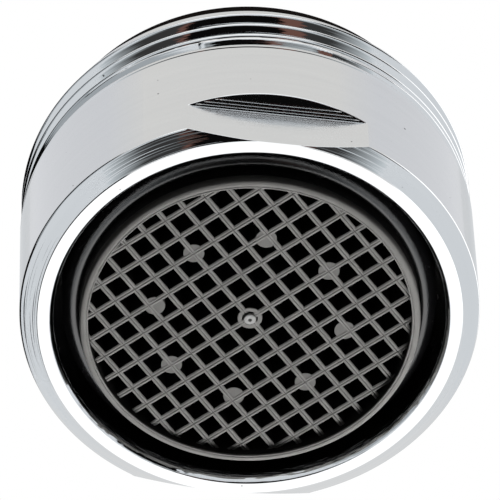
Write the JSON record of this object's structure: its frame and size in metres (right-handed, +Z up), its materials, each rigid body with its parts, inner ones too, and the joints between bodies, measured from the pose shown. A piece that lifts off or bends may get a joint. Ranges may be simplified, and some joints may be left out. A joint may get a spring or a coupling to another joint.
{
  "type": "tap aerator",
  "caption": "Chromed tap aerator with an outside thread, spanner flats, a rubber sealing washer and a drop-in insert that ends in a grey cross-grid nozzle.",
  "frame": {"origin": "on the axis, in the plane of the nozzle's end, which is the lowest point", "axes": "+Z up along the axis, from the outlet to the threaded inlet end; the spanner flats face +Y and -Y"},
  "size_m": [0.0239, 0.024, 0.014],
  "materials": {
    "chromed_brass": "bright chrome",
    "grey_plastic": "satin moulded",
    "black_plastic": "satin moulded",
    "pale_plastic": "satin moulded",
    "black_rubber": "dull"
  },
  "bodies": {
    "root": {"housing": "chromed_brass", "outlet_nozzle": "grey_plastic", "insert_casing": "black_plastic", "lower_grid": "black_plastic", "upper_grid": "black_plastic", "jet_splitter": "black_plastic", "inlet_sieve": "pale_plastic", "sealing_washer": "black_rubber"}
  },
  "joints": []
}
